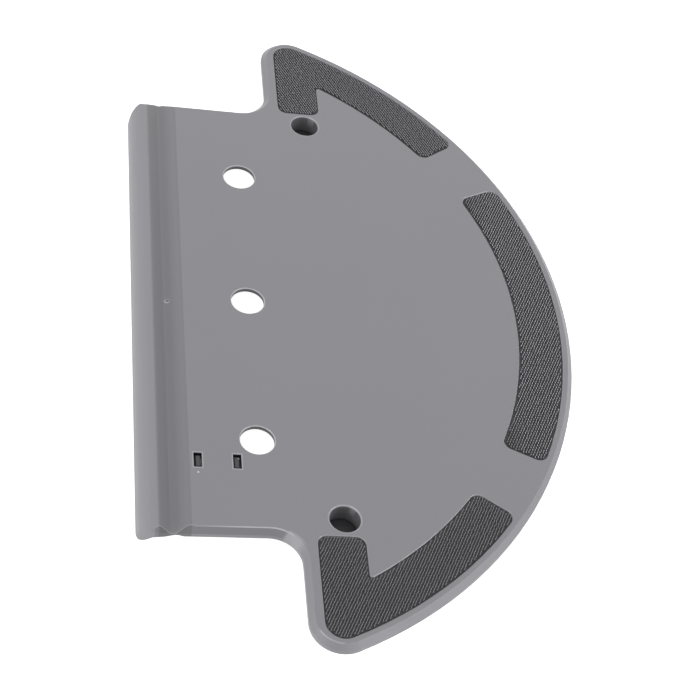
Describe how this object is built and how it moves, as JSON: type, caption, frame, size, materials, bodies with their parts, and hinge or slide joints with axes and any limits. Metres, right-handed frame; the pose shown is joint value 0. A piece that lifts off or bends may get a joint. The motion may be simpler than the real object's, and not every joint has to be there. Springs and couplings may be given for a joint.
{
  "type": "robot vacuum mop plate",
  "caption": "Moulded half-moon mop plate for a robot vacuum: bevelled rim, rolled front lip, through holes, hollow pegs on the back and hook pads that hold the cloth",
  "frame": {"origin": "centre of the middle through hole, on the flat face that carries the hook pads", "axes": "+Z out of that face towards the cloth, +X from the front lip to the round rear edge, +Y along the lip"},
  "size_m": [0.1687, 0.3056, 0.0102],
  "materials": {
    "plate": "fine moulded grain, satin",
    "hook_tape": "black nylon hook tape",
    "clip": "dark moulded plastic",
    "magnet": "nickel plate"
  },
  "bodies": {
    "root": {"mop_plate": "plate", "hook_pad_left": "hook_tape", "hook_pad_middle": "hook_tape", "hook_pad_right": "hook_tape", "magnet_clip": "clip", "sensor_magnet": "magnet"}
  },
  "joints": []
}
